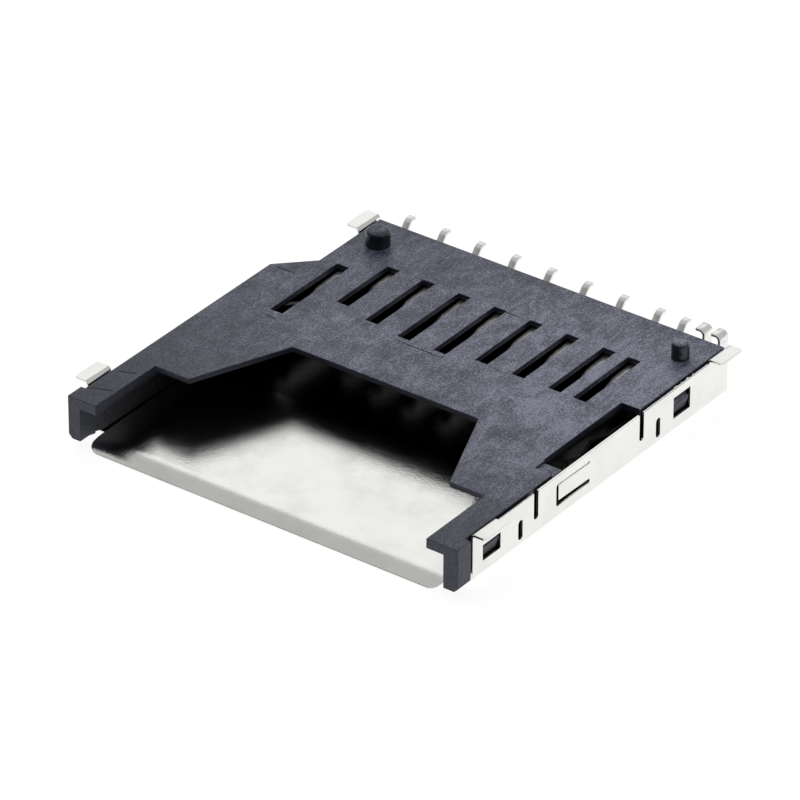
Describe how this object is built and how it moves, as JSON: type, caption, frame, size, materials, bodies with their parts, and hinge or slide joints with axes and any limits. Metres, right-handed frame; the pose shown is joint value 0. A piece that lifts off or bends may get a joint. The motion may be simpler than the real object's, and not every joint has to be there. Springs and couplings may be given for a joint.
{
  "type": "memory card socket",
  "caption": "Push-in socket for a full-size memory card: plastic frame in a folded metal shell, row of contact springs, two switch springs, solder tabs and locating pegs.",
  "frame": {"origin": "under the middle of the card space, on the outside of the metal floor", "axes": "+X across the card to the side with the switch springs, +Y the way a card is pushed in, +Z towards the circuit board, along the locating pegs"},
  "size_m": [0.0282, 0.0272, 0.0043],
  "materials": {
    "housing_plastic": "fine grained, glass filled, dark blue grey",
    "shell_steel": "bright rolled stainless sheet",
    "contact_metal": "tin plated copper alloy strip",
    "switch_metal": "tin plated copper alloy strip"
  },
  "bodies": {
    "root": {"housing": "housing_plastic", "shell": "shell_steel", "contact_1": "contact_metal", "contact_2": "contact_metal", "contact_3": "contact_metal", "contact_4": "contact_metal", "contact_5": "contact_metal", "contact_6": "contact_metal", "contact_7": "contact_metal", "contact_8": "contact_metal", "contact_9": "contact_metal", "card_detect_spring": "switch_metal", "write_protect_spring": "switch_metal"}
  },
  "joints": []
}
